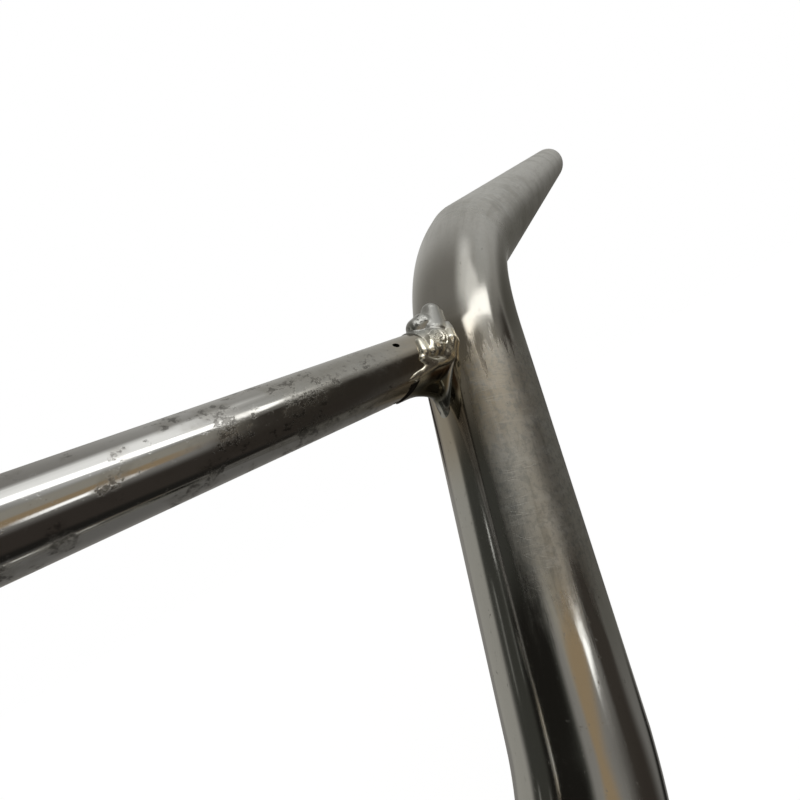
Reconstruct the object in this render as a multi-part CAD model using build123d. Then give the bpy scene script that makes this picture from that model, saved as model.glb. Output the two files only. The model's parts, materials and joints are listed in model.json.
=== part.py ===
from build123d import *
import math
import os

# Main tube: one bent length of drawn steel tube, mirrored about the middle of the clamp zone
tube_diameter = 22.2
tube_wall = 2.0
lower_bend_radius = 50.0
upper_bend_radius = 48.0
riser_angle = 66.0  # between the riser and the clamp zone's line, degrees
back_sweep = 16.3  # the grip's turn to the rear, seen from above, degrees
up_sweep = 20.5  # the grip's rise, seen from the front, degrees
joint_to_corner = 20.0  # along the riser, from the crossbar's line to the upper corner
corner_to_end = 290.0  # along the grip, from the upper corner to the open end
end_bevel = 0.9  # round the outer edge of each open end

# Crossbar: a thinner tube across the risers
crossbar_span = 280.0  # between the two riser axes, at the crossbar's height
crossbar_height = 95.0  # above the clamp zone's axis
crossbar_diameter = 11.1
crossbar_wall = 1.5
vent_diameter = 1.3
vent_from_riser = 23.2
vent_angle = 57.0  # round the crossbar, from straight up towards the front, degrees

# Ground notch under each end of the crossbar, measured inwards from the riser's axis
notch_roof = 3.5  # how far the notch's flat roof lies below the crossbar's axis
notch_front_reach = 22.6
notch_peak_reach = 27.3
notch_peak_back = 1.4
notch_half_width = 4.6

# Weld at each joint: a thin slanted collar on the crossbar's end, a root that tapers down the
# riser, a rounded top above the joint, and a cap laid over the front
collar_top_reach = 18.4
collar_bottom_reach = 25.6
collar_proud = 0.3
root_reach = 10.8  # from the riser's axis inwards to the root's own axis
root_radius = 6.2
root_tip_radius = 1.8
root_rise = 2.0
root_depth = 15.5
top_reach = 11.2
top_above = 2.6
top_radius = 6.0
cap_reach = 13.2
cap_angle = 50.0  # round the crossbar, from straight up towards the front, degrees
cap_base_radius = 4.8
cap_face_radius = 3.0
cap_face = 6.8  # from the crossbar's axis out to the cap's flat face
slit = 1.0  # the gap left open between the notch's edge and the weld

tube_radius = tube_diameter / 2
crossbar_radius = crossbar_diameter / 2
crossbar_bore = crossbar_radius - crossbar_wall
riser_up = Vector(math.cos(math.radians(riser_angle)), 0, math.sin(math.radians(riser_angle)))
joint = Vector(crossbar_span / 2, 0, crossbar_height)
lower_corner = joint - riser_up * (crossbar_height / riser_up.Z)
upper_corner = joint + riser_up * joint_to_corner
sweep_back = math.tan(math.radians(back_sweep))
sweep_up = math.tan(math.radians(up_sweep))
grip_out = Vector(1, -sweep_back, sweep_up).normalized()
bar_end = upper_corner + grip_out * corner_to_end


def mirrored(point):
    """The same point on the other side of the bar."""
    return Vector(-point.X, point.Y, point.Z)


def both_sides(shape):
    """A shape and its mirror image about the bar's middle."""
    return [shape, mirror(shape, about=Plane.YZ)]


def centreline():
    """The tube's route: clamp zone, lower bends, risers, upper bends and grips."""
    corners = [bar_end, upper_corner, lower_corner]
    route = [mirrored(p) for p in corners] + corners[::-1]
    bends = [upper_bend_radius, lower_bend_radius, lower_bend_radius, upper_bend_radius]
    return FilletPolyline(*route, radius=bends)


def rod(edge, radius):
    """A round rod along one straight run, or round one bend, of the route."""
    section = Plane(edge @ 0, z_dir=edge % 0) * Circle(radius)
    if edge.geom_type == GeomType.LINE:
        return extrude(section, amount=edge.length)
    turn = (edge % 0).cross(edge % 1)
    return revolve(
        section,
        axis=Axis(edge.arc_center, turn),
        revolution_arc=(edge % 0).get_angle(edge % 1),
    )


def bent_rod(radius):
    """A round rod along the whole route: the clamp zone, then each side as a mirrored pair."""
    clamp_run, *right_side = centreline().edges().filter_by(lambda e: e.center().X > -1).sort_by(Axis.X)
    whole = rod(clamp_run, radius)
    for edge in right_side:
        for side in both_sides(rod(edge, radius)):
            whole += side
    return whole


def make_main_tube(skin):
    """The bent tube, open at both ends, with the outer edges of its rims bevelled."""
    tube = skin - bent_rod(tube_radius - tube_wall)
    for tip in (bar_end, mirrored(bar_end)):
        rims = tube.edges().filter_by(GeomType.CIRCLE)
        rims = rims.filter_by(lambda e: (e.arc_center - tip).length < 0.01)
        tube = chamfer(rims.sort_by(SortBy.RADIUS)[-1], end_bevel)
    return tube


def on_crossbar(inwards, angle, reach):
    """A point beside the crossbar's axis, near its right end."""
    turn = math.radians(angle)
    return joint + Vector(-inwards, reach * math.sin(turn), reach * math.cos(turn))


def on_side(inwards, above):
    """A point in the risers' plane, near the crossbar's right end."""
    return joint + Vector(-inwards, 0, above)


def notch(gap):
    """The slanted notch ground under the crossbar's right end, smaller all round by a gap."""
    outline = [
        (0, notch_half_width),
        (notch_front_reach - gap, notch_half_width),
        (notch_peak_reach - gap, -notch_peak_back),
        (0, -notch_half_width),
    ]
    corners = [joint + Vector(-reach, y, 0) for reach, y in outline]
    floor = make_face(Polyline(*corners, close=True))
    depth = crossbar_radius + 1 - notch_roof
    return extrude(Pos(0, 0, -notch_roof - depth) * floor, amount=depth, dir=(0, 0, 1))


def crossbar_rod(radius):
    """A round rod along the crossbar's line, from one riser's axis to the other."""
    return Pos(0, 0, crossbar_height) * Rot(0, 90, 0) * Cylinder(radius, crossbar_span)


def make_crossbar(skin):
    """The crossbar: both ends coped to the risers, each with its notch and its vent hole."""
    bar = crossbar_rod(crossbar_radius) - crossbar_rod(crossbar_bore)
    vent_way = Plane(
        on_crossbar(vent_from_riser, vent_angle, 0),
        z_dir=on_crossbar(0, vent_angle, 1) - joint,
    )
    vent = vent_way * Circle(vent_diameter / 2)
    for tool in both_sides(notch(0) + extrude(vent, amount=crossbar_diameter)):
        bar -= tool
    return bar - skin


def tapered(start, end, start_radius, end_radius):
    """A round bar that tapers from one point to another."""
    run = end - start
    return Plane(start + run / 2, z_dir=run) * Cone(start_radius, end_radius, run.length)


def weld_root():
    """The weld's main body: a root down the riser, and a rounded top above the joint."""
    foot = on_side(root_reach, 0) - riser_up * root_depth
    root = tapered(on_side(root_reach, root_rise), foot, root_radius, root_tip_radius)
    column = Plane(on_side(root_reach, root_rise), z_dir=riser_up) * Cylinder(root_radius, 30)
    barrel = Pos(*on_side(top_reach, top_above)) * Rot(90, 0, 0) * Cylinder(top_radius, 20)
    return root + (barrel & column)


def weld_cap():
    """The low cap of weld laid over the front of the joint."""
    face = on_crossbar(cap_reach, cap_angle, cap_face)
    return tapered(on_crossbar(cap_reach, cap_angle, 2), face, cap_base_radius, cap_face_radius)


def weld_collar():
    """The thin collar of weld round the crossbar, with its slanted end."""
    radius = crossbar_radius + collar_proud
    slant = math.atan2(collar_bottom_reach - collar_top_reach, 2 * radius)
    end = Plane(
        on_side((collar_top_reach + collar_bottom_reach) / 2, 0),
        x_dir=Vector(math.sin(slant), 0, math.cos(slant)),
        z_dir=Vector(-math.cos(slant), 0, math.sin(slant)),
    )
    return split(crossbar_rod(radius), bisect_by=end, keep=Keep.BOTTOM)


def make_weld(skin):
    """The right weld: its body, collar, cap and the fill in the notch, cut to sit on both tubes."""
    weld = weld_root() + weld_collar() + weld_cap()
    weld -= crossbar_rod(crossbar_radius)
    weld += (notch(slit) & crossbar_rod(crossbar_radius)) - crossbar_rod(crossbar_bore)
    return weld - skin


skin = bent_rod(tube_radius)
weld_right = make_weld(skin)

parts = {
    "main_tube": make_main_tube(skin),
    "crossbar": make_crossbar(skin),
    "weld_right": weld_right,
    "weld_left": mirror(weld_right, about=Plane.YZ),
}

os.makedirs("parts", exist_ok=True)
for node, shape in parts.items():
    export_step(shape, f"parts/{node}.step")
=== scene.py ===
"""Dresses the packed dirt bike handlebar and sets the photograph's camera, floor and light.

The main tube and the welds are rebuilt here as finer meshes that stand for the plain solids: the
tube with its slightly flattened bends and rounded rims, the welds with their lumps and ripples.
The crossbar keeps its own solid. All sizes are in metres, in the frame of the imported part.
"""
from __future__ import annotations

import json
import logging
import math
from dataclasses import dataclass, field
from enum import Enum
from typing import Any, Iterable, Sequence

import bmesh
import bpy
import numpy as np
from mathutils import Matrix, Vector

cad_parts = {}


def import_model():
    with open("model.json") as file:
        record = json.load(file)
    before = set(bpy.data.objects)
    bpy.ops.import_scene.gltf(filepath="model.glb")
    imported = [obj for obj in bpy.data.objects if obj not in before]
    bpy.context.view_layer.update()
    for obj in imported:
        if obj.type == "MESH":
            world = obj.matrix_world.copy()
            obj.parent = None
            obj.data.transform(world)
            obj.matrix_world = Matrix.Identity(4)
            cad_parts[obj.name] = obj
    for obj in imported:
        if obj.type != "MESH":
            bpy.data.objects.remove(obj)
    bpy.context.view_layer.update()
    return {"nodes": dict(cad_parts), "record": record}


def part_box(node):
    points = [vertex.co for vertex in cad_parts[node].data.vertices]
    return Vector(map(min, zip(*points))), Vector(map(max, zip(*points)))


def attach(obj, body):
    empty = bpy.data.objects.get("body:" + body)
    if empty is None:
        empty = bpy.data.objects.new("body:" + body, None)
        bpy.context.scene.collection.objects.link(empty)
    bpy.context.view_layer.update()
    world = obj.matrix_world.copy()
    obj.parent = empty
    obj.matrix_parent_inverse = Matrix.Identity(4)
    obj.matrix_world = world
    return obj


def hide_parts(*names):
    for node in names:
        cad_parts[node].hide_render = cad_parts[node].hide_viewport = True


log = logging.getLogger("handlebar")

Colour = tuple[float, float, float]
Span = tuple[float, float]
MM = 0.001
FLOOR_GAP = 0.1 * MM


class Side(Enum):
    """The rider's two sides of the bar, as the sign of X."""

    RIGHT = 1
    LEFT = -1


class Coordinates(Enum):
    """What a finish measures its patterns on."""

    STRAIGHTENED = "straightened"
    OBJECT = "object"


# Shader and geometry trees


class Wire:
    """A socket that can be added, subtracted, multiplied and divided like a number."""

    def __init__(self, tree: bpy.types.NodeTree, socket: bpy.types.NodeSocket) -> None:
        """Wraps one output socket.

        Args:
            tree: The tree that the socket's node stands in.
            socket: The output socket.
        """
        self.tree = tree
        self.socket = socket

    def _math(self, operation: str, *values: Any) -> Wire:
        """Adds a Math node and returns its result.

        Args:
            operation: The Math node's operation.
            values: Wires or numbers.

        Returns:
            The node's output.
        """
        node = self.tree.nodes.new("ShaderNodeMath")
        node.operation = operation
        for place, value in enumerate(values):
            plug(self.tree, node.inputs[place], value)
        return Wire(self.tree, node.outputs[0])

    def __add__(self, other: Any) -> Wire:
        """Sum of two values."""
        return self._math("ADD", self, other)

    __radd__ = __add__

    def __mul__(self, other: Any) -> Wire:
        """Product of two values."""
        return self._math("MULTIPLY", self, other)

    __rmul__ = __mul__

    def __sub__(self, other: Any) -> Wire:
        """Difference of two values."""
        return self._math("SUBTRACT", self, other)

    def __rsub__(self, other: Any) -> Wire:
        """Difference of two values, the other way round."""
        return self._math("SUBTRACT", other, self)

    def __truediv__(self, other: Any) -> Wire:
        """Quotient of two values."""
        return self._math("DIVIDE", self, other)

    def at_most(self, other: Any) -> Wire:
        """The smaller of two values."""
        return self._math("MINIMUM", self, other)

    def at_least(self, other: Any) -> Wire:
        """The larger of two values."""
        return self._math("MAXIMUM", self, other)

    def size(self) -> Wire:
        """The value without its sign."""
        return self._math("ABSOLUTE", self)

    def cosine(self) -> Wire:
        """The value's cosine."""
        return self._math("COSINE", self)

    def joined(self, other: Any, blend: float) -> Wire:
        """The smaller of two distances, rounded off where they are nearly the same.

        Args:
            other: The other distance.
            blend: How far apart they may be to be rounded.

        Returns:
            The distance to the joined shape.
        """
        return self._math("SMOOTH_MIN", self, other, blend)


def plug(tree: bpy.types.NodeTree, socket: bpy.types.NodeSocket, value: Any) -> None:
    """Links a wire to a socket, or sets the socket's own value.

    Args:
        tree: The tree that holds the socket.
        socket: The input socket.
        value: A wire, a socket or a plain value.
    """
    if isinstance(value, Wire):
        tree.links.new(value.socket, socket)
    elif isinstance(value, bpy.types.NodeSocket):
        tree.links.new(value, socket)
    else:
        socket.default_value = value


class Tree:
    """Adds nodes to one node tree, shader or geometry."""

    def __init__(self, tree: bpy.types.NodeTree) -> None:
        """Empties the tree and gets ready to fill it."""
        self.tree = tree
        tree.nodes.clear()

    def node(self, kind: str, settings: dict[str, Any] | None = None,
             inputs: dict[Any, Any] | None = None) -> bpy.types.Node:
        """Adds a node.

        Args:
            kind: The node's type.
            settings: The node's own settings, which are set first.
            inputs: Values or links, by the socket's name or number.

        Returns:
            The new node.
        """
        node = self.tree.nodes.new(kind)
        for name, value in (settings or {}).items():
            setattr(node, name, value)
        for name, value in (inputs or {}).items():
            plug(self.tree, node.inputs[name], value)
        return node

    def wire(self, node: bpy.types.Node, output: Any = 0) -> Wire:
        """One output of a node as a wire."""
        return Wire(self.tree, node.outputs[output])

    def smooth(self, value: Wire, low: Any, high: Any) -> Wire:
        """A smooth step from 0 at low to 1 at high.

        Args:
            value: What is tested.
            low: Where the step starts.
            high: Where the step ends; below low, the step falls instead.

        Returns:
            The step's value.
        """
        node = self.node("ShaderNodeMapRange", {"interpolation_type": "SMOOTHSTEP"},
                         {"Value": value, "From Min": low, "From Max": high})
        return self.wire(node)

    def vector(self, operation: str, first: Any, second: Any = (0, 0, 0), output: Any = 0) -> Wire:
        """A Vector Math node's result.

        Args:
            operation: The node's operation.
            first: A wire or a vector.
            second: A wire or a vector.
            output: Which output to use.

        Returns:
            The chosen output.
        """
        node = self.node("ShaderNodeVectorMath", {"operation": operation}, {0: first, 1: second})
        return self.wire(node, output)

    def scaled(self, vector: Wire, factor: Any) -> Wire:
        """A vector times a number."""
        node = self.node("ShaderNodeVectorMath", {"operation": "SCALE"}, {0: vector, "Scale": factor})
        return self.wire(node)

    def split(self, vector: Wire) -> tuple[Wire, Wire, Wire]:
        """A vector's three numbers."""
        node = self.node("ShaderNodeSeparateXYZ", {}, {0: vector})
        return self.wire(node, 0), self.wire(node, 1), self.wire(node, 2)

    def join(self, x: Any, y: Any, z: Any) -> Wire:
        """A vector made of three numbers."""
        return self.wire(self.node("ShaderNodeCombineXYZ", {}, {0: x, 1: y, 2: z}))

    def mix(self, first: Any, second: Any, factor: Any) -> Wire:
        """A blend of two colours.

        Args:
            first: The colour at factor 0.
            second: The colour at factor 1.
            factor: How much of the second shows.

        Returns:
            The blended colour.
        """
        node = self.node("ShaderNodeMix", {"data_type": "RGBA"}, {"Factor": factor})
        for place, value in ((6, first), (7, second)):
            plug(self.tree, node.inputs[place], opaque(value))
        return self.wire(node, 2)

    def noise(self, vector: Wire, scale: float, detail: float = 2.0, rough: float = 0.5) -> Wire:
        """A noise value from 0 to 1.

        Args:
            vector: Where the noise is read.
            scale: Its scale, per metre.
            detail: How many finer layers it has.
            rough: How strong those layers are.

        Returns:
            The noise value.
        """
        node = self.node("ShaderNodeTexNoise", {},
                         {"Vector": vector, "Scale": scale, "Detail": detail, "Roughness": rough})
        return self.wire(node)

    def named(self, name: str, kind: str = "FLOAT_VECTOR") -> Wire:
        """A value that the geometry's points carry."""
        settings = {"data_type": kind}
        return self.wire(self.node("GeometryNodeInputNamedAttribute", settings, {"Name": name}))

    def store(self, geometry: bpy.types.NodeSocket, name: str, value: Any) -> bpy.types.NodeSocket:
        """Writes a vector on a geometry's points.

        Args:
            geometry: The geometry.
            name: The name that the vector is kept under.
            value: The vector at each point.

        Returns:
            The same geometry, whose points now carry the vector.
        """
        node = self.node("GeometryNodeStoreNamedAttribute", {"data_type": "FLOAT_VECTOR"},
                         {0: geometry, "Name": name, "Value": value})
        return node.outputs[0]

    def plated(self, colour: Wire, roughness: Wire, height: Wire, depth: float) -> None:
        """Ends a material's tree in plated metal.

        Args:
            colour: The metal's colour.
            roughness: Its roughness.
            height: The fine relief that is too small for the mesh.
            depth: The relief's depth where its height is 1, in metres.
        """
        bump = self.node("ShaderNodeBump", {}, {"Strength": 1.0, "Distance": depth, "Height": height})
        shader = self.node("ShaderNodeBsdfPrincipled", {}, {
            "Base Color": colour, "Metallic": 1.0, "Roughness": roughness, "Normal": self.wire(bump)})
        self.node("ShaderNodeOutputMaterial", {}, {"Surface": self.wire(shader)})


def new_material(name: str) -> tuple[bpy.types.Material, Tree]:
    """Makes a material.

    Args:
        name: The material's name.

    Returns:
        The material and its emptied tree.
    """
    material = bpy.data.materials.new(name)
    material.use_nodes = True
    return material, Tree(material.node_tree)


def opaque(value: Any) -> Any:
    """Adds the alpha to a plain colour.

    Args:
        value: A colour of three numbers, or a wire.

    Returns:
        The colour with its alpha; anything else as it is.
    """
    if isinstance(value, tuple) and len(value) == 3:
        return (*value, 1.0)
    return value


# The bar's own measures


@dataclass(frozen=True)
class BarShape:
    """The bar's driving sizes and the places worked out from them, in metres."""

    tube_radius: float
    crossbar_radius: float
    crossbar_height: float
    tube_wall: float = 2.0 * MM
    half_span: float = 140.0 * MM
    riser_angle: float = math.radians(66.0)
    back_sweep: float = math.radians(16.3)
    up_sweep: float = math.radians(20.5)
    joint_to_corner: float = 20.0 * MM
    corner_to_end: float = 290.0 * MM
    lower_bend: float = 50.0 * MM
    upper_bend: float = 48.0 * MM

    @classmethod
    def from_frame(cls, record: dict[str, Any]) -> BarShape:
        """Takes the tube's size from the record's clamp zone, and the crossbar's from its box.

        Args:
            record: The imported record.

        Returns:
            The bar's measures.
        """
        clamp = next(m for m in record["mounts"] if m["name"] == "clamp_zone")
        low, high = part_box("crossbar")
        return cls(
            tube_radius=clamp["dims"]["r_mm"] * MM,
            crossbar_radius=(high.z - low.z) / 2,
            crossbar_height=(high.z + low.z) / 2,
        )

    @property
    def riser_up(self) -> Vector:
        """The right riser's direction."""
        return Vector((math.cos(self.riser_angle), 0, math.sin(self.riser_angle)))

    @property
    def joint(self) -> Vector:
        """Where the crossbar's line meets the right riser's line."""
        return Vector((self.half_span, 0, self.crossbar_height))

    @property
    def grip_out(self) -> Vector:
        """The right grip's direction, out of the bar."""
        return Vector((1, -math.tan(self.back_sweep), math.tan(self.up_sweep))).normalized()

    def corners(self) -> list[Vector]:
        """The corners of the right half's centreline.

        Returns:
            The lower corner, the upper corner and the middle of the open end.
        """
        lower = self.joint - self.riser_up * (self.crossbar_height / self.riser_up.z)
        upper = self.joint + self.riser_up * self.joint_to_corner
        return [lower, upper, upper + self.grip_out * self.corner_to_end]

    def from_riser(self, tree: Tree, place: Wire) -> Wire:
        """How far a place lies from the riser's axis.

        Args:
            tree: The tree that works it out.
            place: The place in millimetres from the joint: inwards, to the front and up.

        Returns:
            The distance in millimetres.
        """
        inwards, front, up = tree.split(place)
        across = inwards * math.sin(self.riser_angle) + up * math.cos(self.riser_angle)
        return tree.vector("LENGTH", tree.join(across, front, 0), output="Value")


# Finishes


@dataclass(frozen=True)
class DullBand:
    """A stretch of dulled chrome, on both sides of the bar. Measured from the middle, in metres."""

    start: float
    end: float
    amount: float
    start_edge: float = 8 * MM
    end_edge: float = 8 * MM
    ragged: float = 6 * MM
    front_only: bool = False


@dataclass(frozen=True)
class Pattern:
    """A noise on the straightened tube: its scale per metre, its layers, and how it is drawn out."""

    scale: float
    detail: float
    rough: float
    lengthwise: float = 1.0
    around: float = 1.0

    def on(self, tree: Tree, sleeve: Wire) -> Wire:
        """The pattern's value at a place on the tube, from 0 to 1."""
        drawn = tree.vector("MULTIPLY", sleeve, (self.around, self.around, self.lengthwise))
        return tree.noise(drawn, self.scale, self.detail, self.rough)


@dataclass(frozen=True)
class Mark:
    """A tint that sets in where a pattern rises from one value to another."""

    colour: Colour
    sets_in: Span
    amount: float

    def over(self, tree: Tree, colour: Wire, pattern: Wire, where: Wire) -> Wire:
        """The colour with the mark laid over it."""
        return tree.mix(colour, self.colour, tree.smooth(pattern, *self.sets_in) * where * self.amount)


@dataclass(frozen=True)
class ChromeFinish:
    """Old chrome plate: a clear and a hazy state, fine polish lines, scuffs, pits and tarnish.

    A span says between which values of a pattern, or distances, something sets in.
    """

    name: str
    coordinates: Coordinates
    clear: Colour = (0.60, 0.595, 0.575)
    hazy: Colour = (0.55, 0.54, 0.505)
    speck: Colour = (0.05, 0.045, 0.04)
    gold: Colour = (0.42, 0.31, 0.16)
    stain: Colour = (0.31, 0.295, 0.26)
    stained: Mark = Mark(stain, (0.48, 0.66), 0.6)
    streaked: Mark = Mark(stain, (0.52, 0.70), 0.4)
    rubbed: Mark = Mark((0.70, 0.71, 0.70), (0.46, 0.70), 0.45)
    scuffed: Mark = Mark((0.30, 0.31, 0.31), (0.46, 0.62), 0.45)
    scratched: Colour = (0.66, 0.65, 0.62)
    clear_roughness: float = 0.085
    hazy_roughness: float = 0.37
    least_roughness: float = 0.05
    least_haze: float = 0.05
    most_haze: float = 1.2
    bands: tuple[DullBand, ...] = ()
    bump_depth: float = 0.03 * MM
    pitting: float = 0.6
    pitted_from: float = 0.0
    pitted_to: float = 0.0
    pitted_edge: float = 15 * MM
    front: Span = (0.46, 0.60)
    front_wander: float = 0.24
    gold_strength: float = 0.45
    gold_below: tuple[float, float, float] = (15 * MM, 0.0, 9 * MM)
    gold_reach: Span = (20 * MM, 7 * MM)
    dulled_reach: Span = (50 * MM, 24 * MM)
    dulled_above: float = 9 * MM
    patches: Pattern = Pattern(38, 4, 0.6)
    fingers: Pattern = Pattern(520, 3, 0.6, lengthwise=0.15)
    lines: Pattern = Pattern(1500, 3, 0.65, lengthwise=0.03)
    wide_lines: Pattern = Pattern(420, 2, 0.5, lengthwise=0.05)
    grain: Pattern = Pattern(2600, 2, 0.6)
    rubbing: Pattern = Pattern(300, 4, 0.7, around=0.5)
    scuffs: Pattern = Pattern(900, 5, 0.75)
    pits: Pattern = Pattern(820, 5, 0.75)
    clouds: Pattern = Pattern(140, 3, 0.6)
    scratch_breaks: Pattern = Pattern(190, 2, 0.5)
    unbroken: Span = (0.46, 0.60)
    scratch_width: Span = (0.020, 0.004)
    scratch_runs: tuple[tuple[float, float, float], ...] = (
        (330, 0.10, 0.0), (420, 0.22, 0.9), (380, 0.16, -0.6))
    clouded: Span = (0.45, 0.58)
    pitted: Span = (0.62, 0.74)

    def material(self, shape: BarShape) -> bpy.types.Material:
        """Builds the material.

        Args:
            shape: The bar's measures, for the joints' places.

        Returns:
            The finished material.
        """
        material, tree = new_material(self.name)
        place = tree.wire(tree.node("ShaderNodeTexCoord"), "Object")
        if self.coordinates is Coordinates.STRAIGHTENED:
            sleeve = tree.wire(tree.node("ShaderNodeAttribute", {"attribute_name": "sleeve"}), "Vector")
            along = tree.split(sleeve)[2]
        else:
            along, across, up = tree.split(place)
            sleeve = tree.join(across, up - shape.crossbar_height, along)

        patches = self.patches.on(tree, sleeve)
        fingers = self.fingers.on(tree, sleeve)
        facing = tree.split(place)[1] / shape.tube_radius + (fingers - 0.5) * self.front_wander
        haze = self._haze(tree, along, fingers, patches, tree.smooth(facing, *self.front))
        scratches = self._scratches(tree, sleeve) * haze
        scuffs = self.scuffs.on(tree, sleeve)
        dark, cloud = self._specks(tree, sleeve, along)

        colour = tree.mix(self.clear, self.hazy, haze)
        colour = self.stained.over(tree, colour, patches, haze)
        colour = self.streaked.over(tree, colour, fingers, haze)
        colour = self.rubbed.over(tree, colour, self.rubbing.on(tree, sleeve), haze)
        colour = self._tarnished(tree, place, shape, colour)
        colour = self.scuffed.over(tree, colour, scuffs, haze)
        for tint, amount in ((self.stain, cloud * 0.4), (self.speck, dark),
                             (self.scratched, scratches * 0.14)):
            colour = tree.mix(colour, tint, amount)

        lines = self.lines.on(tree, sleeve)
        wide_lines = self.wide_lines.on(tree, sleeve)
        grain = self.grain.on(tree, sleeve)
        roughness = haze * (self.hazy_roughness - self.clear_roughness) + self.clear_roughness
        roughness = roughness + (lines - 0.5) * 0.08 + (grain - 0.5) * 0.05 + dark * 0.10
        roughness = roughness + tree.smooth(wide_lines, 0.50, 0.75) * 0.04 + scratches * 0.05
        roughness = (roughness + cloud * 0.10).at_least(self.least_roughness)
        height = (lines + wide_lines) * 0.5 * (haze * 0.9 + 0.1)
        height = height - scratches * 0.2 - dark * 0.5 + scuffs * haze * 0.6
        tree.plated(colour, roughness, height, self.bump_depth)
        return material

    def _scratches(self, tree: Tree, sleeve: Wire) -> Wire:
        """Hairline scratches, each a thin line where a noise is halfway.

        A run of them has a scale per metre, a stretch round the tube and a slant.

        Args:
            tree: The material's tree.
            sleeve: The place on the straightened tube.

        Returns:
            How scratched each place is, from 0 to 1.
        """
        x, y, along = tree.split(sleeve)
        total: Wire | float = 0.0
        for scale, stretch, slant in self.scratch_runs:
            turned = tree.join(x * stretch, y * stretch, along + (x + y) * slant)
            from_middle = (tree.noise(turned, scale, 2, 0.5) - 0.5).size()
            total = tree.smooth(from_middle, *self.scratch_width) + total
        breaks = tree.smooth(self.scratch_breaks.on(tree, sleeve), *self.unbroken)
        return (total * breaks).at_most(1.0)

    def _haze(self, tree: Tree, along: Wire, fingers: Wire, patches: Wire, front: Wire) -> Wire:
        """How dull the chrome is.

        Args:
            tree: The material's tree.
            along: The length along the tube, from its middle.
            fingers: A noise drawn out lengthwise, which makes the bands' ends ragged.
            patches: The slow noise that varies the dullness.
            front: 1 on the riser's front, 0 elsewhere.

        Returns:
            The haze, from 0 to a little over 1.
        """
        haze: Wire | float = self.least_haze
        for band in self.bands:
            spot = along.size() + (fingers - 0.5) * (2 * band.ragged)
            begins = tree.smooth(spot, band.start - band.start_edge, band.start + band.start_edge)
            ends = tree.smooth(spot, band.end + band.end_edge, band.end - band.end_edge)
            dulled = begins * ends * band.amount
            haze = (dulled * front if band.front_only else dulled).at_least(haze)
        return ((patches * 0.6 + 0.7) * haze).at_most(self.most_haze)

    def _specks(self, tree: Tree, sleeve: Wire, along: Wire) -> tuple[Wire, Wire]:
        """Dark pits, gathered in clouded patches.

        Args:
            tree: The material's tree.
            sleeve: The place on the straightened tube.
            along: The length along the tube, from its middle.

        Returns:
            How dark each place is, and how clouded the chrome is round the pits, both from 0 to 1.
        """
        spot, edge = along.size(), self.pitted_edge
        where = (tree.smooth(spot, self.pitted_from - edge, self.pitted_from + edge)
                 * tree.smooth(spot, self.pitted_to + edge, self.pitted_to - edge))
        cloud = tree.smooth(self.clouds.on(tree, sleeve), *self.clouded) * where
        pits = self.pits.on(tree, sleeve) + cloud * 0.15
        return tree.smooth(pits, *self.pitted) * self.pitting, cloud

    def _tarnished(self, tree: Tree, place: Wire, shape: BarShape, colour: Wire) -> Wire:
        """Adds the dull grey above each joint and the gold tarnish that welding left round it.

        Args:
            tree: The material's tree.
            place: The place on the object.
            shape: The bar's measures.
            colour: The colour without the tarnish.

        Returns:
            The colour with it.
        """
        x, y, z = tree.split(place)
        below = shape.joint - Vector(self.gold_below)
        above = z - below.z
        distance = tree.vector("LENGTH", tree.join(x.size() - below.x, y, above), output="Value")
        dulled = tree.smooth(distance, *self.dulled_reach) * tree.smooth(above, 0.0, self.dulled_above)
        colour = tree.mix(colour, self.stain, dulled * 0.65)
        return tree.mix(colour, self.gold, tree.smooth(distance, *self.gold_reach) * self.gold_strength)


# Making objects


def add_object(name: str, mesh: bpy.types.Mesh) -> bpy.types.Object:
    """Links a new object at the origin.

    Args:
        name: The object's name.
        mesh: Its mesh.

    Returns:
        The object.
    """
    thing = bpy.data.objects.new(name, mesh)
    bpy.context.scene.collection.objects.link(thing)
    return thing


def apply_modifiers(thing: bpy.types.Object) -> None:
    """Replaces an object's mesh by what its modifiers make of it, and removes them.

    Args:
        thing: The object.
    """
    graph = bpy.context.evaluated_depsgraph_get()
    plain = bpy.data.meshes.new_from_object(thing.evaluated_get(graph))
    thing.modifiers.clear()
    thing.data = plain


def drop_scraps(thing: bpy.types.Object, fewest: int) -> None:
    """Deletes the loose scraps of a mesh, which the grid leaves where the metal thins out.

    Args:
        thing: The object.
        fewest: How many points a connected piece must have to stay.
    """
    solid = bmesh.new()
    solid.from_mesh(thing.data)
    scraps: list[bmesh.types.BMVert] = []
    for start in solid.verts:
        if start.tag:
            continue
        start.tag = True
        piece = [start]
        for point in piece:
            for edge in point.link_edges:
                other = edge.other_vert(point)
                if not other.tag:
                    other.tag = True
                    piece.append(other)
        if len(piece) < fewest:
            scraps.extend(piece)
    bmesh.ops.delete(solid, geom=scraps, context="VERTS")
    solid.to_mesh(thing.data)
    solid.free()


def geometry_tree(name: str, sizes: dict[str, str]) -> tuple[Tree, bpy.types.Node]:
    """Starts a geometry tree.

    Args:
        name: The tree's name.
        sizes: Its inputs' names and socket types, after the geometry.

    Returns:
        The tree and its input node.
    """
    group = bpy.data.node_groups.new(name, "GeometryNodeTree")
    group.interface.new_socket("Geometry", in_out="INPUT", socket_type="NodeSocketGeometry")
    for label, kind in sizes.items():
        group.interface.new_socket(label, in_out="INPUT", socket_type=kind)
    group.interface.new_socket("Geometry", in_out="OUTPUT", socket_type="NodeSocketGeometry")
    tree = Tree(group)
    return tree, tree.node("NodeGroupInput")


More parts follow.
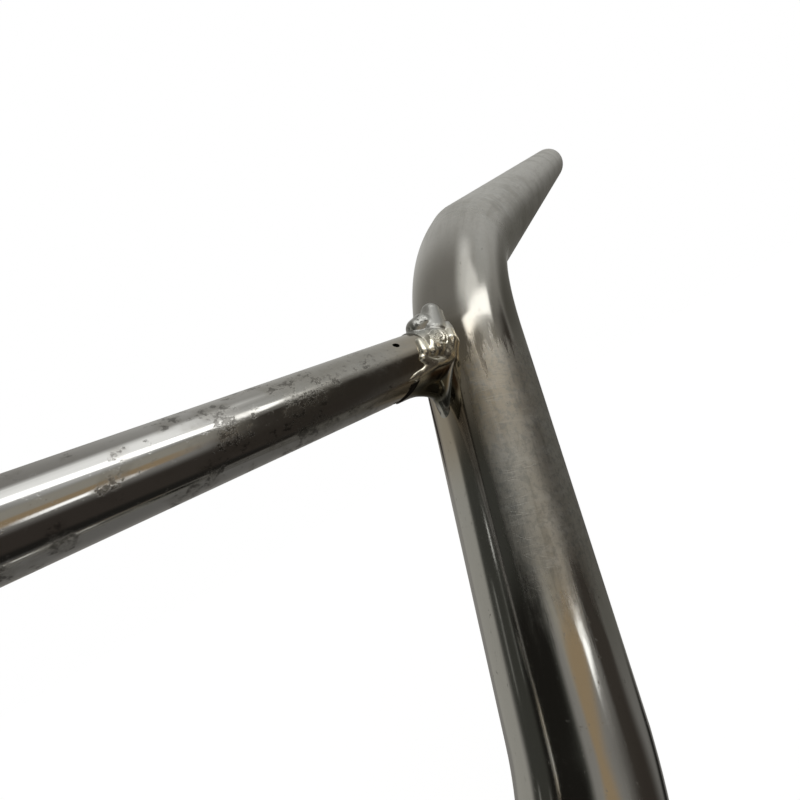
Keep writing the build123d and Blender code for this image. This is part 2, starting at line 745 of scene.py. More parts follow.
def close_tree(tree: Tree, geometry: bpy.types.NodeSocket, material: bpy.types.NodeSocket) -> None:
    """Ends a geometry tree in Realize Instances and Set Material.

    Args:
        tree: The tree.
        geometry: What the tree made.
        material: The material's socket.
    """
    smooth = tree.node("GeometryNodeSetShadeSmooth", {}, {0: geometry})
    real = tree.node("GeometryNodeRealizeInstances", {}, {0: smooth.outputs[0]})
    painted = tree.node("GeometryNodeSetMaterial", {}, {0: real.outputs[0], "Material": material})
    tree.node("NodeGroupOutput", {}, {0: painted.outputs[0]})


def add_tree(thing: bpy.types.Object, tree: Tree, values: dict[str, Any]) -> None:
    """Puts a geometry tree on an object, sets its inputs by their identifiers, and applies it.

    Args:
        thing: The object that carries the tree.
        tree: The tree.
        values: The inputs' values, by name.
    """
    modifier = thing.modifiers.new(tree.tree.name, "NODES")
    modifier.node_group = tree.tree
    for item in tree.tree.interface.items_tree:
        if item.in_out == "INPUT" and item.name in values:
            modifier[item.identifier] = values[item.name]
    apply_modifiers(thing)


# The bent tube


@dataclass
class MainTube:
    """The bent main tube, open at both ends, flattened a little on the outside of its bends."""

    shape: BarShape
    finish: ChromeFinish
    name: str = "bent_tube"
    rim_radius: float = 0.9 * MM
    inner_rim_radius: float = 0.4 * MM
    rim_turns: tuple[int, ...] = (0, 22, 44, 66, 90)
    bend_step: float = math.radians(2.0)
    straight_step: float = 6.0 * MM
    flattening: float = 1.6 * MM
    flattening_ease: float = 0.8
    around: int = 112

    def route(self) -> tuple[np.ndarray, np.ndarray]:
        """The centreline and, at each point, how far the bend's outer side is pushed in.

        Returns:
            The points from the left end to the right end, and a vector at each point that leads
            towards the bend's centre and is as long as the tube is flattened there.
        """
        lower, upper, end = self.shape.corners()
        points: list[Vector] = []
        pushes: list[Vector] = []
        start = Vector((0, 0, 0))
        for corner, following, radius in ((lower, upper, self.shape.lower_bend),
                                          (upper, end, self.shape.upper_bend)):
            first = (corner - start).normalized()
            second = (following - corner).normalized()
            turn = first.angle(second)
            tangent = radius * math.tan(turn / 2)
            bend_start = corner - first * tangent
            self._straight(points, pushes, start, bend_start)
            axis = first.cross(second).normalized()
            centre = bend_start + axis.cross(first) * radius
            steps = math.ceil(turn / self.bend_step)
            for step in range(steps):
                part = step / steps
                spoke = Matrix.Rotation(turn * part, 3, axis) @ (bend_start - centre)
                ease = math.sin(math.pi * part) ** self.flattening_ease
                points.append(centre + spoke)
                pushes.append(-spoke.normalized() * (self.flattening * ease))
            start = corner + second * tangent
        self._straight(points, pushes, start, end)
        points.append(end)
        pushes.append(Vector((0, 0, 0)))
        right = np.array([tuple(p) for p in points])
        push = np.array([tuple(p) for p in pushes])
        flip = np.array([-1, 1, 1])
        return (np.vstack([right[:0:-1] * flip, right]), np.vstack([push[:0:-1] * flip, push]))

    def _straight(self, points: list[Vector], pushes: list[Vector], start: Vector,
                  end: Vector) -> None:
        """Adds a straight run's points, without its last one.

        Args:
            points: The centreline so far.
            pushes: The flattening so far.
            start: The run's start.
            end: The run's end.
        """
        steps = math.ceil((end - start).length / self.straight_step)
        for step in range(steps):
            points.append(start.lerp(end, step / steps))
            pushes.append(Vector((0, 0, 0)))

    def _with_rims(self, points: np.ndarray, pushes: np.ndarray, radius: float,
                   rim: float) -> tuple[np.ndarray, np.ndarray, np.ndarray]:
        """Adds the rounding at both ends to the centreline.

        Args:
            points: The centreline.
            pushes: The flattening at each point.
            radius: The wall surface's radius along the tube.
            rim: The rounding's radius; negative for the bore, whose rim opens outwards.

        Returns:
            The points, the flattening and the radius at each point.
        """
        turns = np.radians(self.rim_turns)
        back = abs(rim) * (1 - np.sin(turns))
        radii_end = radius - rim * (1 - np.cos(turns))
        out = (points[-1] - points[-2]) / np.linalg.norm(points[-1] - points[-2])
        out_left = (points[0] - points[1]) / np.linalg.norm(points[0] - points[1])
        right = points[-1] - out * back[:, None]
        left = points[0] - out_left * back[:, None]
        places = np.vstack([left[::-1], points[1:-1], right])
        radii = np.concatenate([radii_end[::-1], np.full(len(points) - 2, radius), radii_end])
        still = np.zeros((len(turns), 3))
        return places, np.vstack([still, pushes[1:-1], still]), radii

    def _path_object(self, places: np.ndarray, pushes: np.ndarray, radii: np.ndarray,
                     inside: bool) -> bpy.types.Object:
        """The centreline as a line of edges that carries the tube's sizes.

        Args:
            places: The centreline.
            pushes: The flattening at each point.
            radii: The radius at each point.
            inside: True for the bore.

        Returns:
            The object.
        """
        mesh = bpy.data.meshes.new(self.name)
        count = len(places)
        mesh.from_pydata([tuple(p) for p in places], [(i, i + 1) for i in range(count - 1)], [])
        lengths = np.linalg.norm(np.diff(places, axis=0), axis=1)
        along = np.concatenate([[0], np.cumsum(lengths)])
        along -= along[-1] / 2
        for name, kind, key, values in (("push", "FLOAT_VECTOR", "vector", pushes.ravel()),
                                        ("size", "FLOAT", "value", radii),
                                        ("along", "FLOAT", "value", along)):
            mesh.attributes.new(name, kind, "POINT").data.foreach_set(key, values)
        return add_object(self.name + ("_bore" if inside else ""), mesh)

    def _sweep_tree(self) -> Tree:
        """Makes the tree that sweeps a circle along the centreline and flattens the bends.

        Returns:
            The tree.
        """
        tree, source = geometry_tree("swept tube", {
            "Around": "NodeSocketInt", "Inside": "NodeSocketBool", "Material": "NodeSocketMaterial"})
        path = tree.node("GeometryNodeMeshToCurve", {}, {0: source.outputs["Geometry"]})
        size = tree.named("size", "FLOAT")
        circle = tree.node("GeometryNodeCurvePrimitiveCircle", {},
                           {"Resolution": source.outputs["Around"], "Radius": 1.0})
        spot = tree.node("GeometryNodeInputPosition")
        ring = tree.store(circle.outputs[0], "ring", spot.outputs[0])
        skin = tree.node("GeometryNodeCurveToMesh", {}, {0: path.outputs[0], 1: ring, "Scale": size})

        lengthwise = tree.join(0, 0, tree.named("along", "FLOAT"))
        place = tree.vector("ADD", tree.scaled(tree.named("ring"), size), lengthwise)
        sleeved = tree.store(skin.outputs[0], "sleeve", place)

        push = tree.named("push")
        normal = tree.wire(tree.node("GeometryNodeInputNormal"))
        inward = tree.vector("DOT_PRODUCT", tree.vector("NORMALIZE", push), normal, output="Value")
        shift = tree.scaled(push, (inward * -1).at_least(0) * inward.size())
        pressed = tree.node("GeometryNodeSetPosition", {}, {0: sleeved, "Offset": shift})
        flipped = tree.node("GeometryNodeFlipFaces", {}, {0: pressed.outputs[0]})
        chosen = tree.node("GeometryNodeSwitch", {"input_type": "GEOMETRY"}, {
            "Switch": source.outputs["Inside"], "False": pressed.outputs[0], "True": flipped.outputs[0]})
        close_tree(tree, chosen.outputs[0], source.outputs["Material"])
        return tree

    def build(self) -> bpy.types.Object:
        """Builds the tube's skin, bore and rims as one closed mesh.

        Returns:
            The finished tube.
        """
        material = self.finish.material(self.shape)
        points, pushes = self.route()
        tree = self._sweep_tree()
        surfaces = ((self.shape.tube_radius, self.rim_radius, False),
                    (self.shape.tube_radius - self.shape.tube_wall, -self.inner_rim_radius, True))
        shells = []
        for radius, rim, inside in surfaces:
            shell = self._path_object(*self._with_rims(points, pushes, radius, rim), inside)
            add_tree(shell, tree, {"Around": self.around, "Inside": inside, "Material": material})
            shells.append(shell)
        return self._close(shells)

    def _close(self, shells: Sequence[bpy.types.Object]) -> bpy.types.Object:
        """Joins the outer skin and the bore by a flat ring at each end.

        Args:
            shells: The skin and the bore.

        Returns:
            The skin's object, now with the whole closed mesh.
        """
        skin, bore = shells
        solid = bmesh.new()
        solid.from_mesh(skin.data)
        solid.from_mesh(bore.data)
        edges = [edge for edge in solid.edges if edge.is_boundary]
        for sign in (-1, 1):
            end = [edge for edge in edges if edge.verts[0].co.x * sign > 0]
            bmesh.ops.bridge_loops(solid, edges=end)
        bmesh.ops.recalc_face_normals(solid, faces=solid.faces)
        for face in solid.faces:
            face.smooth = True
        solid.to_mesh(skin.data)
        solid.free()
        bpy.data.objects.remove(bore)
        return skin


# The welds


@dataclass(frozen=True)
class Spot:
    """A place beside the crossbar's axis near a joint, in millimetres and degrees."""

    inwards: float
    angle: float
    reach: float

    def local(self) -> Vector:
        """The place as inwards, to the front and up from the joint."""
        turn = math.radians(self.angle)
        return Vector((self.inwards, self.reach * math.sin(turn), self.reach * math.cos(turn)))


@dataclass(frozen=True)
class Lump:
    """One rounded lump of weld metal. Sizes in millimetres."""

    middle: Spot
    radii: tuple[float, float, float]
    blend: float = 0.6

    def distance(self, tree: Tree, place: Wire) -> Wire:
        """Roughly how far a place lies outside the lump.

        Args:
            tree: The tree that works it out.
            place: The place in millimetres from the joint.

        Returns:
            The distance in millimetres, negative inside.
        """
        offset = tree.vector("SUBTRACT", place, tuple(self.middle.local()))
        scaled = tree.vector("DIVIDE", offset, self.radii)
        return (tree.vector("LENGTH", scaled, output="Value") - 1) * (sum(self.radii) / 3)


@dataclass(frozen=True)
class Ridge:
    """A rounded ridge of weld metal between two places. Sizes in millimetres."""

    start: Vector
    end: Vector
    start_radius: float
    end_radius: float
    blend: float = 0.6

    def distance(self, tree: Tree, place: Wire) -> Wire:
        """How far a place lies outside the ridge.

        Args:
            tree: The tree that works it out.
            place: The place in millimetres from the joint.

        Returns:
            The distance in millimetres, negative inside.
        """
        run = self.end - self.start
        offset = tree.vector("SUBTRACT", place, tuple(self.start))
        part = tree.vector("DOT_PRODUCT", offset, tuple(run / run.length_squared), "Value")
        part = part.at_least(0).at_most(1)
        nearest = tree.vector("MULTIPLY", tree.join(part, part, part), tuple(run))
        gap = tree.vector("DISTANCE", offset, nearest, "Value")
        return gap - (part * (self.end_radius - self.start_radius) + self.start_radius)


@dataclass(frozen=True)
class Crater:
    """The fine ripples round one weld crater. Sizes in millimetres."""

    middle: Spot = Spot(14.5, 76, 6.7)
    radius: float = 1.7
    ripple_width: float = 0.68
    wander: float = 1.1

    def waves(self, tree: Tree, place: Wire) -> Wire:
        """The ripples, which fade out beyond the crater.

        Args:
            tree: The tree that works them out.
            place: The place in millimetres from the joint.

        Returns:
            The ripples' height there, from -1 to 1.
        """
        distance = tree.vector("DISTANCE", place, tuple(self.middle.local()), "Value")
        distance = distance + (tree.noise(place, 0.8, 2, 0.5) - 0.5) * self.wander
        fade = tree.smooth(distance, self.radius * 1.5, self.radius)
        return (distance * (2 * math.pi / self.ripple_width)).cosine() * fade


@dataclass(frozen=True)
class Slit:
    """The open end of the notch under the crossbar, where no weld metal reaches. Millimetres."""

    roof: float = -4.5
    peak: float = 26.4
    peak_front: float = -1.4
    front_slope: float = -0.783
    back_slope: float = 8.5
    edge_lean: float = 0.787

    def distance(self, tree: Tree, place: Wire) -> Wire:
        """Roughly how far a place lies outside the slit.

        Args:
            tree: The tree that works it out.
            place: The place in millimetres from the joint.

        Returns:
            The distance in millimetres, negative inside.
        """
        inwards, front, up = tree.split(place)
        from_peak = front - self.peak_front
        edge = (from_peak * self.front_slope).at_most(from_peak * self.back_slope)
        return (up - self.roof).at_least((edge + self.peak - inwards) * self.edge_lean)


@dataclass
class WeldShape:
    """The weld metal at a joint as one field of distances, turned into a skin on a fine grid.

    The field is worked out in millimetres from the joint: inwards along the crossbar, to the
    front, and up. The same tree makes both welds, so each is the other's mirror image.
    """

    shape: BarShape
    sunk: float = 0.10
    collar_proud: float = 0.22
    collar_blend: float = 0.3
    collar_top: float = 17.0
    collar_bottom: float = 25.4
    slit: Slit = Slit()
    crater: Crater = Crater()
    ripple_height: float = 0.06
    tube_blend: float = 0.8
    upper_end: float = -1.1
    upper_slope: float = 0.24
    upper_bend: float = 50.0
    skin_level: float = 0.5
    noise_scale: float = 0.36
    noise_detail: float = 0.6
    reach: Ridge = Ridge(Vector((12, 0, 0)), Vector((15.5, 0, -5.5)), 13.5, 12.5)
    root: Ridge = Ridge(Vector((11.4, 0, 0.5)), Vector((15.9, 0, -11.0)), 5.7, 1.4, 1.4)
    lip: Ridge = Ridge(Vector((26.6, 0.2, -5.45)), Vector((23.6, 3.4, -4.35)), 0.26, 0.26, 0.1)
    dome: Ridge = Ridge(Vector((11.4, 2.8, 3.4)), Vector((8.7, 2.6, 7.5)), 3.0, 2.0)
    lumps: tuple[Lump | Ridge, ...] = (
        Lump(Spot(13.5, 79, 3.1), (3.6, 3.7, 3.7), 0.5),
        Lump(Spot(15.4, 82, 3.1), (2.8, 3.3, 3.3), 0.5),
        Lump(Spot(15.5, 91, 5.2), (1.5, 1.8, 1.8), 0.9),
        Lump(Spot(13.9, 108, 5.1), (1.4, 1.6, 1.6), 0.9),
        Ridge(Vector((14.0, 2.0, 5.4)), Vector((12.4, 2.4, 5.6)), 2.1, 2.4, 0.4),
        Ridge(Spot(9.0, 55, 5.8).local(), Spot(11.4, 88, 5.8).local(), 0.9, 1.15, 0.3),
        Ridge(Spot(11.4, 88, 5.8).local(), Spot(13.2, 117, 5.5).local(), 1.15, 1.0, 0.3),
        Ridge(Spot(16.0, 74, 5.9).local(), Spot(17.2, 96, 5.7).local(), 0.9, 1.0, 0.4),
        Ridge(Spot(18.3, 70, 5.2).local(), Spot(19.0, 93, 5.4).local(), 1.1, 1.1, 0.3),
        Ridge(Spot(20.0, 103, 5.4).local(), Spot(17.6, 117, 5.5).local(), 0.9, 1.0, 0.3),
        Ridge(Spot(17.6, 117, 5.5).local(), Spot(14.0, 122, 5.4).local(), 1.0, 0.8, 0.3),
        Ridge(Spot(18.6, 121, 5.2).local(), Spot(24.4, 131, 5.1).local(), 0.85, 0.55, 0.8),
        Ridge(Vector((21.6, 0.5, -4.3)), Vector((17.0, 0.5, -6.0)), 1.2, 1.9, 1.6),
    )

    def metal(self, tree: Tree, place: Wire, unevenness: Wire) -> Wire:
        """The field of distances.

        Args:
            tree: The geometry tree.
            place: Where it is read, in millimetres from the joint.
            unevenness: How far the lumps' skin is raised there.

        Returns:
            How far the place lies outside the weld metal.
        """
        inwards, front, up = tree.split(place)
        lean = self.shape.riser_angle
        along = up * math.sin(lean) - inwards * math.cos(lean)
        from_riser = self.shape.from_riser(tree, place)
        from_crossbar = tree.vector("LENGTH", tree.join(0, front, up), output="Value")
        past = (along - self.upper_end).at_least(0)
        thinned = past * (past / self.upper_bend + self.upper_slope)
        riser = from_riser - (self.shape.tube_radius / MM - self.sunk) + thinned
        crossbar = from_crossbar - (self.shape.crossbar_radius / MM - self.sunk)

        low = (1 - up / from_crossbar.at_least(0.1)) * 0.5
        end = low * low * low * (self.collar_bottom - self.collar_top) + self.collar_top
        collar = (crossbar - self.sunk - self.collar_proud).at_least(inwards - end)
        metal = riser.joined(crossbar.at_least(inwards - end), self.tube_blend)
        metal = metal.joined(self.root.distance(tree, place), self.root.blend)
        metal = metal.joined(collar, self.collar_blend)
        metal = metal.joined(self.dome.distance(tree, place), self.dome.blend)
        for lump in self.lumps:
            metal = metal.joined(lump.distance(tree, place) - unevenness, lump.blend)
        metal = metal - self.crater.waves(tree, place) * self.ripple_height

        outside_slit = self.slit.distance(tree, place)
        metal = metal.at_least(outside_slit * -1)
        metal = metal.joined(self.lip.distance(tree, place), self.lip.blend)
        metal = metal.at_least(self.reach.distance(tree, place))
        wall = self.shape.tube_wall / MM / 2
        metal = metal.at_least(self.shape.tube_radius / MM - wall - from_riser)
        return metal.at_least(self.shape.crossbar_radius / MM - wall - from_crossbar)

    def tree(self) -> Tree:
        """Makes the tree that fills a grid with the field and wraps it in a skin.

        Returns:
            The tree.
        """
        tree, source = geometry_tree("weld metal", {
            "Joint": "NodeSocketVector", "Side": "NodeSocketFloat",
            "Low": "NodeSocketVector", "High": "NodeSocketVector",
            "Steps X": "NodeSocketInt", "Steps Y": "NodeSocketInt", "Steps Z": "NodeSocketInt",
            "Unevenness": "NodeSocketFloat", "Seed": "NodeSocketFloat",
            "Material": "NodeSocketMaterial"})
        spot = tree.wire(tree.node("GeometryNodeInputPosition"))
        x, front, up = tree.split(tree.vector("SUBTRACT", spot, tree.wire(source, "Joint")))
        place = tree.join(x * tree.wire(source, "Side") * (-1 / MM), front / MM, up / MM)
        noise = tree.node("ShaderNodeTexNoise", {"noise_dimensions": "4D"}, {
            "Vector": place, "W": source.outputs["Seed"], "Scale": self.noise_scale,
            "Detail": self.noise_detail, "Roughness": 0.5})
        unevenness = (tree.wire(noise, 0) - 0.5) * 2 * tree.wire(source, "Unevenness")
        metal = self.metal(tree, place, unevenness)
        density = (self.skin_level - metal).at_least(0).at_most(1)
        grid = tree.node("GeometryNodeVolumeCube", {}, {
            "Density": density, "Min": source.outputs["Low"], "Max": source.outputs["High"],
            "Resolution X": source.outputs["Steps X"], "Resolution Y": source.outputs["Steps Y"],
            "Resolution Z": source.outputs["Steps Z"]})
        skin = tree.node("GeometryNodeVolumeToMesh", {}, {
            0: grid.outputs[0], "Threshold": self.skin_level})
        close_tree(tree, skin.outputs[0], source.outputs["Material"])
        return tree


@dataclass(frozen=True)
class WeldFinish:
    """Chrome over rough weld metal: dull grey above, a painted warm highlight below, painted brown and
    olive shade underneath, dark soot, and painted dark shade in the slit.
    """

    name: str = "weld_chrome"
    grey: Colour = (0.46, 0.46, 0.44)
    # Painted highlight: a bright warm colour on the lower weld, standing for the warm highlights on its
    # lumps.
    warm_highlight: Colour = (0.92, 0.88, 0.75)
    # Painted shade: the brown under the weld's cap and the olive on its underside stand for shade and
    # dark reflection there.
    under_cap_shade: Colour = (0.12, 0.072, 0.04)
    underside_shade: Colour = (0.10, 0.095, 0.07)
    plain: Colour = (0.50, 0.495, 0.47)
    # Dark soot, also used as painted shade in the slit under the crossbar.
    dark: Colour = (0.04, 0.035, 0.03)
    grey_above: Span = (-0.5, 4.5)
    under_cap_shade_below: Span = (-3.3, -4.2)
    under_cap_shade_within: Span = (21.0, 18.5)
    underside_shade_below: Span = (-4.2, -5.4)
    plain_below: Span = (-8.0, -10.5)
    plain_thinner: Span = (0.7, 0.1)
    scorch: Spot = Spot(14.2, 36, 8.3)
    scorch_reach: Span = (2.4, 0.6)
    soot: Span = (0.62, 0.72)
    slit_shade_edge: Span = (0.45, 0.15)
    slit: Slit = Slit()
    crater: Crater = Crater()
    ripple_height: float = 0.06

    def material(self, shape: BarShape) -> bpy.types.Material:
        """Builds the material, which reads its places in millimetres from the nearer joint.

        Args:
            shape: The bar's measures, for the joints' places.

        Returns:
            The finished material.
        """
        material, tree = new_material(self.name)
        x, y, z = tree.split(tree.wire(tree.node("ShaderNodeTexCoord"), "Object"))
        place = tree.join((shape.half_span - x.size()) / MM, y / MM, (z - shape.crossbar_height) / MM)
        inwards, _, up = tree.split(place)
        patches = tree.noise(place, 0.26, 3, 0.6)
        fine = tree.noise(place, 1.5, 3, 0.7)

        upper = tree.smooth(up + (patches - 0.5) * 4, *self.grey_above)
        # Painted shade under the weld's cap, below the crater and inwards of the joint.
        below = tree.smooth(up + (patches - 0.5), *self.under_cap_shade_below)
        below = below * tree.smooth(inwards, *self.under_cap_shade_within)
        proud = shape.from_riser(tree, place) - shape.tube_radius / MM
        lowest = tree.smooth(up, *self.plain_below).at_least(tree.smooth(proud, *self.plain_thinner))
        from_scorch = tree.vector("DISTANCE", place, tuple(self.scorch.local()), "Value")
        scorched = tree.smooth(from_scorch, *self.scorch_reach) * 0.16
        soot = tree.smooth(fine + (patches - 0.5) * 0.4 + scorched, *self.soot)
        soot = soot * (1 - lowest) * (upper * 0.9 + 0.1)
        # Painted shade: the slit's walls are coloured dark where the gap under the crossbar lies in
        # shade.
        gap = tree.smooth(self.slit.distance(tree, place), *self.slit_shade_edge)
        dark = (soot * 0.75).at_least(gap)

        # Painted warm highlight below, dull grey above.
        colour = tree.mix(self.warm_highlight, self.grey, upper)
        # Painted brown and olive shade underneath, the tube's plain colour at the root, then dark soot
        # and painted slit shade.
        for tint, amount in ((self.under_cap_shade, below), (self.underside_shade, tree.smooth(up, *self.underside_shade_below)),
                             (self.plain, lowest), (self.dark, dark)):
            colour = tree.mix(colour, tint, amount)
        waves = self.crater.waves(tree, place) * self.ripple_height
        grain = (fine - 0.5) * (upper * 0.05 + 0.01) * (1 - lowest)
        roughness = upper * 0.07 + 0.25 + dark * 0.30 + (patches - 0.5) * 0.10 - below * 0.06
        tree.plated(colour, roughness, waves + grain, MM)
        return material


@dataclass
class Weld:
    """The weld at one joint."""

    shape: BarShape
    side: Side
    tree: Tree
    material: bpy.types.Material
    step: float = 0.20 * MM
    unevenness: float = 0.22
    seed: float = 7.0
    low: tuple[float, float, float] = (0.5, -10.0, -18.0)
    high: tuple[float, float, float] = (27.5, 10.0, 11.0)
    fewest_points: int = 100

    @property
    def name(self) -> str:
        """The piece's name."""
        return f"weld_bead_{self.side.name.lower()}"

    def build(self) -> bpy.types.Object:
        """Builds the weld.

        Returns:
            The finished piece.
        """
        thing = add_object(self.name, bpy.data.meshes.new(self.name))
        sign = self.side.value
        joint = Vector((self.shape.joint.x * sign, 0, self.shape.joint.z))
        corners = [joint + Vector((-corner[0] * sign, corner[1], corner[2])) * MM
                   for corner in (self.low, self.high)]
        low = [min(pair) for pair in zip(*corners)]
        high = [max(pair) for pair in zip(*corners)]
        steps = [round((top - bottom) / self.step) for bottom, top in zip(low, high)]
        add_tree(thing, self.tree, {
            "Joint": joint, "Side": float(sign), "Low": low, "High": high,
            "Steps X": steps[0], "Steps Y": steps[1], "Steps Z": steps[2],
            "Unevenness": self.unevenness, "Seed": self.seed, "Material": self.material})
        drop_scraps(thing, self.fewest_points)
        return thing


# The studio


@dataclass(frozen=True)
class SoftCard:
    """A soft-edged card or opening far off, which the chrome mirrors. Angles in degrees."""

    azimuth: float
    elevation: float
    half_width: float
    half_height: float
    softness: float
    colour: Colour
    tilt: float = 0.0


@dataclass
class Studio:
    """The floor, the far surroundings and the camera."""

    floor_height: float
    floor_half: float = 8.0
    floor_colour: Colour = (0.85, 0.85, 0.85)
    floor_white: float = 1.09
    floor_glow: float = 0.88
    ground: Colour = (0.17, 0.165, 0.155)
    walls: Colour = (0.28, 0.27, 0.25)
    ceiling: Colour = (0.30, 0.29, 0.27)
    walls_from: Span = (-0.9, 0.05)
    ceiling_from: Span = (0.15, 0.9)
    least_depth: float = 0.02
    room: list[SoftCard] = field(default_factory=lambda: [
        SoftCard(-100, 45, 40, 24, 20, (0.56, 0.555, 0.53)),
        SoftCard(-20, 64, 16, 8, 8, (1.05, 1.05, 1.02)),
        SoftCard(86, 55, 40, 14, 12, (0.15, 0.145, 0.13)),
        SoftCard(88, 20, 47, 24, 5, (0.050, 0.050, 0.043)),
        SoftCard(74, 13, 27, 10, 4, (0.014, 0.013, 0.011)),
        SoftCard(100, 39.5, 1.6, 9, 0.8, (1.9, 1.85, 1.65), tilt=49),
        SoftCard(91, 25, 1.2, 8, 0.6, (0.34, 0.33, 0.31)),
        SoftCard(91.5, 24, 1.3, 2.2, 0.8, (2.2, 2.2, 2.1)),
        SoftCard(105, 23, 0.9, 9, 0.6, (0.15, 0.15, 0.135)),
        SoftCard(105.5, 27.6, 0.8, 2.0, 0.6, (1.1, 1.1, 1.05)),
        SoftCard(123.5, 15, 1.2, 5, 0.7, (0.26, 0.26, 0.24)),
        SoftCard(160, 10, 21, 24, 3, (0.38, 0.37, 0.335)),
        SoftCard(5, 11, 25, 12, 5, (0.36, 0.34, 0.29)),
        SoftCard(6, -3, 22, 7, 3, (0.36, 0.27, 0.165)),
        SoftCard(-14, -48, 34, 26, 9, (0.045, 0.038, 0.032)),
        SoftCard(-24, -74, 60, 10, 6, (0.018, 0.017, 0.015)),
        SoftCard(-38, -8, 17, 22, 4, (0.050, 0.043, 0.036)),
        SoftCard(-86, -10, 28, 24, 5, (0.13, 0.125, 0.11)),
        SoftCard(-31, 37.5, 25, 11, 5, (0.60, 0.60, 0.58)),
        SoftCard(-13, 51, 11, 9, 4, (1.3, 1.3, 1.27)),
        SoftCard(-6, 41.5, 26, 5.8, 1.8, (2.7, 2.7, 2.65), tilt=-29),
        SoftCard(-6, -10, 4.5, 3, 1.5, (1.9, 1.9, 1.85)),
        SoftCard(206, 12, 17, 3.5, 3, (0.02, 0.02, 0.02)),
    ])
    lens_pixels: float = 490.0
    picture_pixels: float = 800.0
    sensor: float = 36.0
    clip: Span = (5 * MM, 50.0)
    camera_place: tuple[float, float, float] = (-59.11 * MM, 65.94 * MM, 78.89 * MM)
    camera_forward: tuple[float, float, float] = (-0.64221, -0.75649, 0.12360)
    camera_up: tuple[float, float, float] = (-0.32174, 0.41240, 0.85230)

    def add_camera(self) -> None:
        """Sets up the camera where the photograph was taken from."""
        data = bpy.data.cameras.new("photo camera")
        data.sensor_width = self.sensor
        data.lens = self.sensor * self.lens_pixels / self.picture_pixels
        data.clip_start, data.clip_end = self.clip
        camera = bpy.data.objects.new("photo camera", data)
        bpy.context.scene.collection.objects.link(camera)
        back = -Vector(self.camera_forward).normalized()
        right = Vector(self.camera_up).cross(back).normalized()
        up = back.cross(right)
        turn = Matrix((right, up, back)).transposed().to_4x4()
        camera.matrix_world = Matrix.Translation(Vector(self.camera_place)) @ turn
        bpy.context.scene.camera = camera

    def add_floor(self) -> None:
        """Lays the plain pale floor, which keeps the bar's shadow and isn't mirrored by the metal."""
        mesh = bpy.data.meshes.new("floor")
        half = self.floor_half
        corners = ((-half, -half), (half, -half), (half, half), (-half, half))
        mesh.from_pydata([(x, y, self.floor_height) for x, y in corners], [], [(0, 1, 2, 3)])
        material, tree = new_material("pale floor")
        matt = tree.node("ShaderNodeBsdfDiffuse", {}, {"Color": opaque(self.floor_colour)})
        white = tree.node("ShaderNodeEmission", {}, {
            "Color": (1, 1, 1, 1), "Strength": self.floor_white})
        seen = tree.wire(tree.node("ShaderNodeLightPath"), "Is Camera Ray")
        mixed = tree.node("ShaderNodeMixShader", {}, {
            0: seen * self.floor_glow, 1: tree.wire(matt), 2: tree.wire(white)})
        tree.node("ShaderNodeOutputMaterial", {}, {"Surface": tree.wire(mixed)})
        mesh.materials.append(material)
        floor = add_object("floor", mesh)
        floor.visible_glossy = False

    def add_surroundings(self) -> None:
        """Sets the far surroundings: white behind the bar, a grey room in its reflections."""
        world = bpy.data.worlds.new("studio")
        world.use_nodes = True
        bpy.context.scene.world = world
        tree = Tree(world.node_tree)
        heading = tree.wire(tree.node("ShaderNodeTexCoord"), "Generated")
        height = tree.split(heading)[2]
        colour = tree.mix(self.ground, self.walls, tree.smooth(height, *self.walls_from))
        colour = tree.mix(colour, self.ceiling, tree.smooth(height, *self.ceiling_from))
        for card in self.room:
            colour = self._add_card(tree, heading, colour, card)
        seen = tree.wire(tree.node("ShaderNodeLightPath"), "Is Camera Ray")
        final = tree.mix(colour, (1.0, 1.0, 1.0), seen)
        shader = tree.node("ShaderNodeBackground", {}, {"Color": final, "Strength": 1.0})
        tree.node("ShaderNodeOutputWorld", {}, {"Surface": tree.wire(shader)})

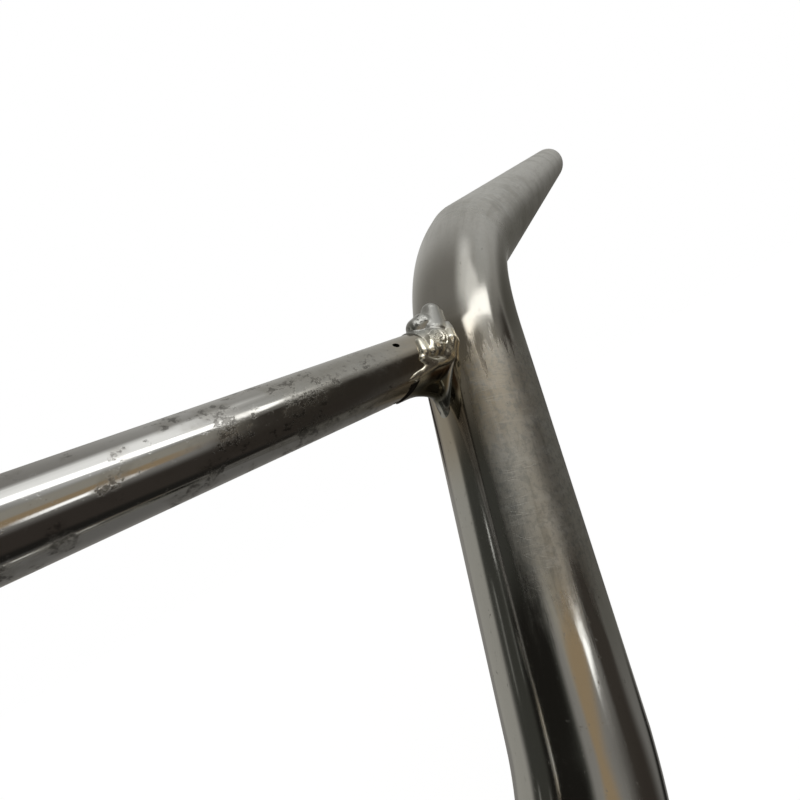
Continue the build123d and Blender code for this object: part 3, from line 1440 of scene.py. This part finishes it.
    def _add_card(self, tree: Tree, heading: Wire, colour: Wire, card: SoftCard) -> Wire:
        """Lays one card over the surroundings.

        Args:
            tree: The world's tree.
            heading: The direction that is looked in.
            colour: The surroundings so far.
            card: The card.

        Returns:
            The surroundings with the card.
        """
        azimuth = math.radians(card.azimuth)
        elevation = math.radians(card.elevation)
        middle = Vector((math.sin(azimuth) * math.cos(elevation),
                         math.cos(azimuth) * math.cos(elevation), math.sin(elevation)))
        level = Vector((math.cos(azimuth), -math.sin(azimuth), 0))
        level = Matrix.Rotation(math.radians(card.tilt), 3, middle) @ level
        upright = level.cross(middle)
        depth = tree.vector("DOT_PRODUCT", heading, tuple(middle), "Value")
        depth = depth.at_least(self.least_depth)
        mask: Wire | None = None
        for axis, half in ((level, card.half_width), (upright, card.half_height)):
            offset = tree.vector("DOT_PRODUCT", heading, tuple(axis), "Value") / depth
            edges = [math.tan(math.radians(half + card.softness * sign)) for sign in (1, -1)]
            step = tree.smooth(offset.size(), *edges)
            mask = step if mask is None else mask * step
        return tree.mix(colour, card.colour, mask)


def main() -> None:
    """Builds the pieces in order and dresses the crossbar."""
    logging.basicConfig(level=logging.INFO, format="%(name)s: %(message)s")
    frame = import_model()
    shape = BarShape.from_frame(frame["record"])

    worn = DullBand(143 * MM, 186 * MM, 1.15, end_edge=3 * MM, ragged=12 * MM, front_only=True)
    bend = DullBand(190 * MM, 226 * MM, 0.16)
    grip = DullBand(222 * MM, 999 * MM, 0.85, start_edge=16 * MM)
    tube_finish = ChromeFinish("bar_chrome", Coordinates.STRAIGHTENED, bands=(worn, bend, grip))
    tube = MainTube(shape, tube_finish).build()
    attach(tube, "root")
    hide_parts("main_tube")
    log.info("tube: %d faces", len(tube.data.polygons))

    near_weld = DullBand(95 * MM, 200 * MM, 0.4, start_edge=20 * MM)
    crossbar_finish = ChromeFinish(
        "crossbar_chrome", Coordinates.OBJECT, clear=(0.56, 0.555, 0.545), hazy=(0.46, 0.455, 0.44),
        clear_roughness=0.075, hazy_roughness=0.24, pitted_from=30 * MM, pitted_to=112 * MM,
        gold_strength=0.5, bands=(near_weld,))
    crossbar = frame["nodes"]["crossbar"]
    crossbar.data.materials.clear()
    crossbar.data.materials.append(crossbar_finish.material(shape))
    log.info("crossbar dressed")

    weld_material = WeldFinish().material(shape)
    weld_tree = WeldShape(shape).tree()
    for side in Side:
        weld = Weld(shape, side, weld_tree, weld_material).build()
        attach(weld, "root")
        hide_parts(f"weld_{side.name.lower()}")
        log.info("%s: %d faces", weld.name, len(weld.data.polygons))

    studio = Studio(floor_height=-shape.tube_radius - FLOOR_GAP)
    studio.add_floor()
    studio.add_surroundings()
    studio.add_camera()
    bpy.context.scene.view_settings.view_transform = "Standard"


if __name__ == "__main__":
    main()
